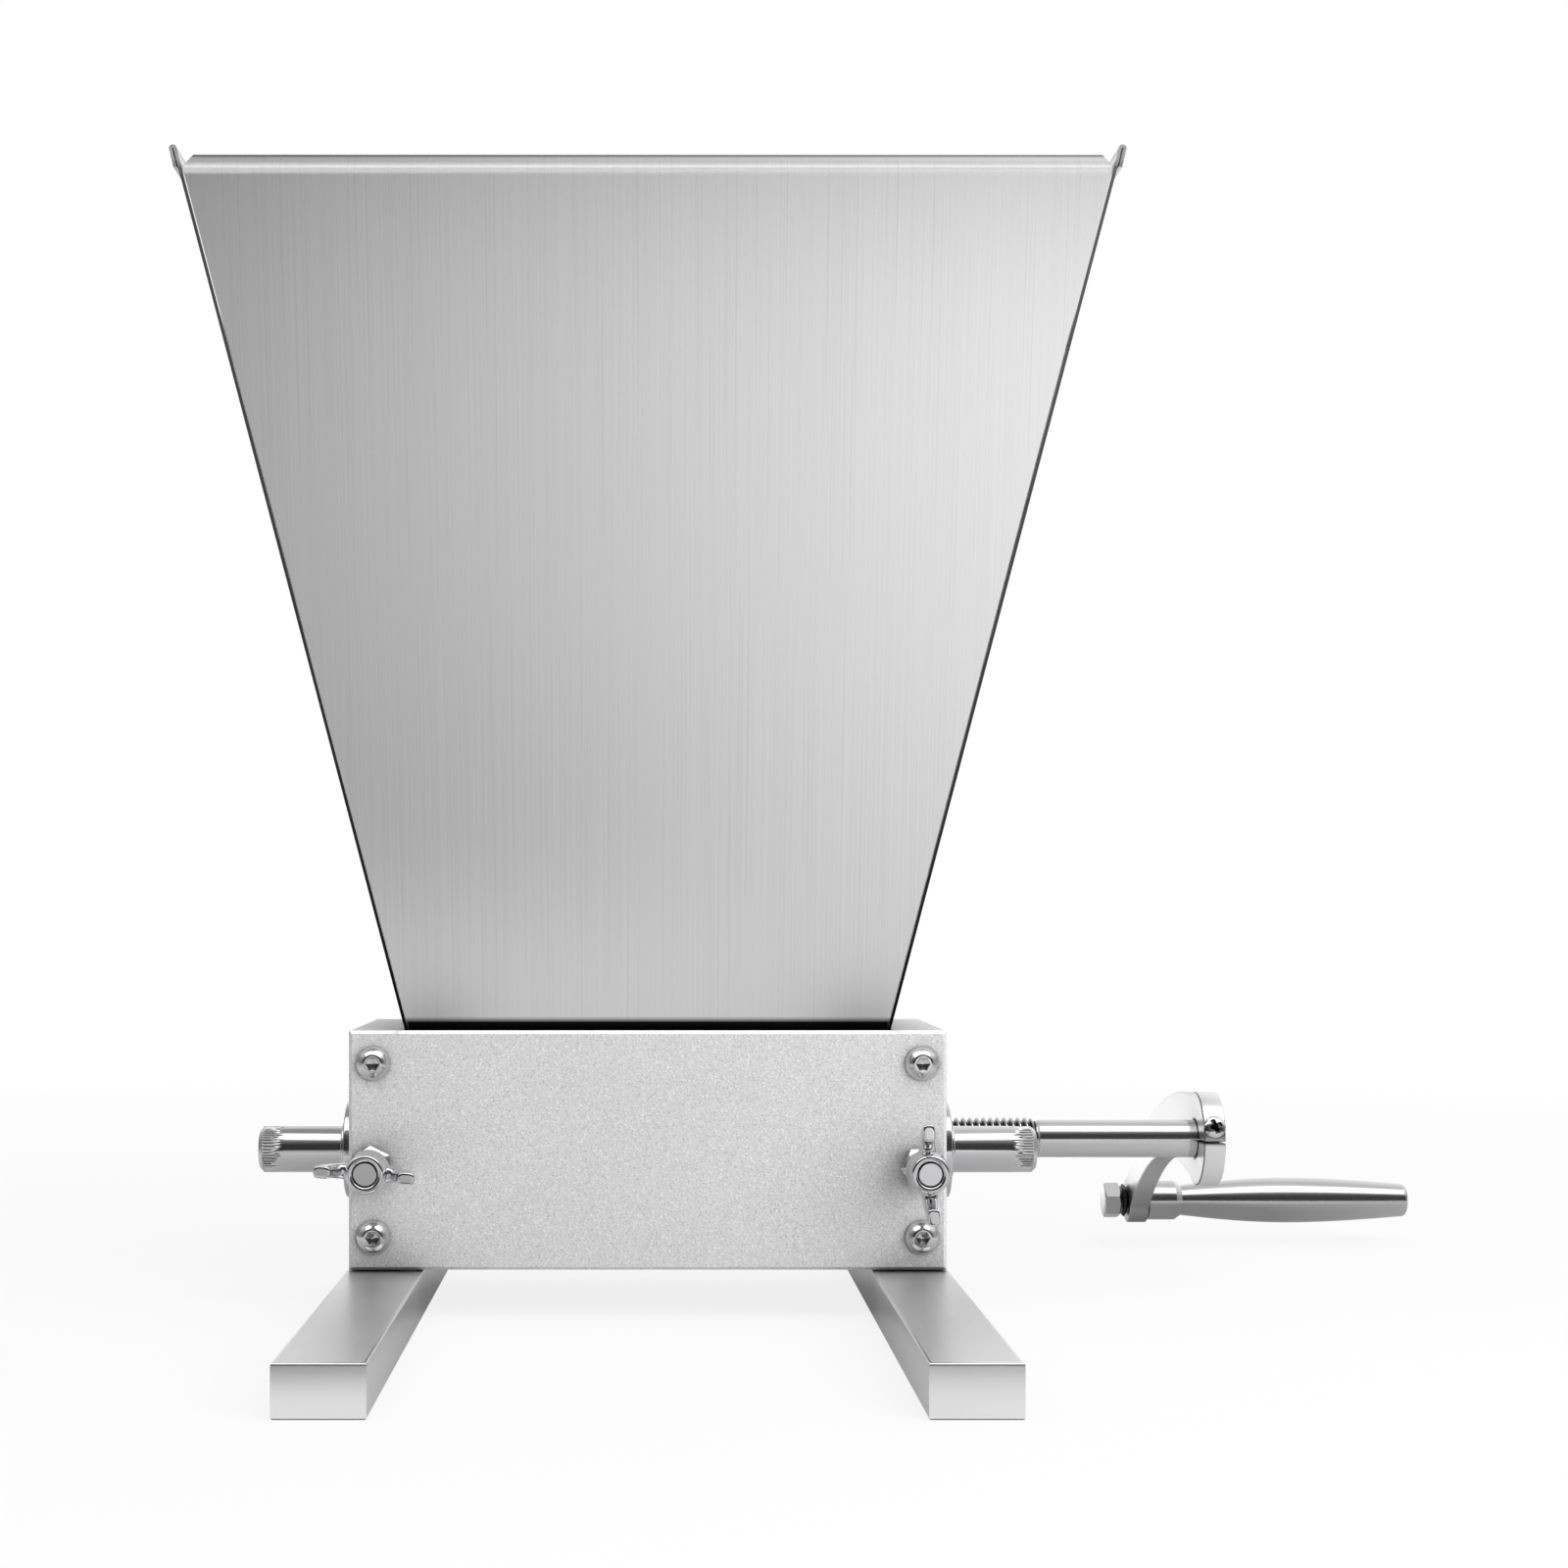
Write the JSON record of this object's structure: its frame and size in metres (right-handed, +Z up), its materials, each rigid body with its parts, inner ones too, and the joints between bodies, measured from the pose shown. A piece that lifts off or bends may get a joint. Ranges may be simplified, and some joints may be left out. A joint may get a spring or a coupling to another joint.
{
  "type": "grain mill",
  "caption": "Hand-cranked roller grain mill: fluted rollers in a box body on bar feet, under a tapered sheet hopper, with eccentric gap adjusters and wing screws.",
  "frame": {"origin": "on the ground, under the middle of the bounding box", "axes": "+Z up, the front cover faces -Y, the rollers lie along X and the crank is at the +X end"},
  "size_m": [0.3574, 0.35, 0.2914],
  "materials": {
    "blasted_aluminium": "fine bead-blasted",
    "satin_bar": "satin",
    "brushed_sheet": "brushed along the height",
    "polished_steel": "turned and polished",
    "hardened_steel": "hardened and ground",
    "bearing_bronze": "plain turned bronze",
    "blackened_steel": "blackened"
  },
  "bodies": {
    "root": {"left_foot": "satin_bar", "right_foot": "satin_bar", "foot_screw_left_front": "polished_steel", "foot_screw_left_back": "polished_steel", "foot_screw_right_front": "polished_steel", "foot_screw_right_back": "polished_steel", "left_end_plate": "blasted_aluminium", "right_end_plate": "blasted_aluminium", "front_cover": "blasted_aluminium", "back_cover": "blasted_aluminium", "cover_screw_front_left_top": "polished_steel", "cover_screw_front_left_bottom": "polished_steel", "cover_screw_front_right_top": "polished_steel", "cover_screw_front_right_bottom": "polished_steel", "cover_screw_back_left_top": "polished_steel", "cover_screw_back_left_bottom": "polished_steel", "cover_screw_back_right_top": "polished_steel", "cover_screw_back_right_bottom": "polished_steel", "left_drive_bush": "bearing_bronze", "right_drive_bush": "bearing_bronze", "left_lock_nut": "polished_steel", "right_lock_nut": "polished_steel"},
    "hopper": {"hopper_front": "brushed_sheet", "hopper_back": "brushed_sheet", "hopper_left": "brushed_sheet", "hopper_right": "brushed_sheet"},
    "crank": {"drive_roller": "hardened_steel", "drive_shaft": "polished_steel", "left_drive_washer": "bearing_bronze", "right_drive_washer": "bearing_bronze", "crank_arm": "satin_bar", "crank_screw": "polished_steel", "grip_bolt": "polished_steel", "grip_lock_nut": "blackened_steel", "grip_ring": "hardened_steel"},
    "grip": {"grip": "polished_steel"},
    "left_adjuster": {"left_adjuster": "polished_steel"},
    "right_adjuster": {"right_adjuster": "polished_steel"},
    "idler": {"idler_roller": "hardened_steel", "idler_shaft": "polished_steel", "left_idler_washer": "bearing_bronze", "right_idler_washer": "bearing_bronze"},
    "left_lock": {"left_lock_stud": "polished_steel"},
    "left_wing": {"left_wing": "polished_steel"},
    "right_lock": {"right_lock_stud": "polished_steel"},
    "right_wing": {"right_wing": "polished_steel"}
  },
  "joints": [
    {"name": "hopper_lift", "type": "slide", "parent": "root", "child": "hopper", "axis": [0, 0, 1], "range_m": [0, 0.06]},
    {"name": "crank_turn", "type": "hinge", "parent": "root", "child": "crank", "pos_m": [0.01497, 0.01625, 0.0418], "axis": [1, 0, 0], "continuous": true},
    {"name": "grip_turn", "type": "hinge", "parent": "crank", "child": "grip", "pos_m": [0.09627, 0.1224, 0.01296], "axis": [1, 0, 0], "continuous": true},
    {"name": "left_adjuster_turn", "type": "hinge", "parent": "root", "child": "left_adjuster", "pos_m": [-0.14003, -0.01625, 0.0418], "axis": [1, 0, 0], "range_deg": [-90, 90]},
    {"name": "right_adjuster_turn", "type": "hinge", "parent": "root", "child": "right_adjuster", "pos_m": [0.01497, -0.01625, 0.0418], "axis": [1, 0, 0], "range_deg": [-90, 90]},
    {"name": "idler_turn", "type": "hinge", "parent": "left_adjuster", "child": "idler", "pos_m": [-0.14003, -0.01625, 0.0428], "axis": [1, 0, 0], "continuous": true},
    {"name": "left_lock_travel", "type": "slide", "parent": "root", "child": "left_lock", "axis": [0, -1, 0], "range_m": [0, 0.002]},
    {"name": "left_lock_turn", "type": "hinge", "parent": "left_lock", "child": "left_wing", "pos_m": [-0.13363, -0.0475, 0.0391], "axis": [0, -1, 0], "range_deg": [0, 720]},
    {"name": "right_lock_travel", "type": "slide", "parent": "root", "child": "right_lock", "axis": [0, -1, 0], "range_m": [0, 0.002]},
    {"name": "right_lock_turn", "type": "hinge", "parent": "right_lock", "child": "right_wing", "pos_m": [0.00857, -0.0475, 0.0391], "axis": [0, -1, 0], "range_deg": [0, 720]}
  ],
  "couplings": [
    {"joint": "right_adjuster_turn", "follows": "left_adjuster_turn", "ratio": 1},
    {"joint": "left_lock_turn", "follows": "left_lock_travel", "rad_per_m": 6283.2},
    {"joint": "right_lock_turn", "follows": "right_lock_travel", "rad_per_m": 6283.2}
  ]
}
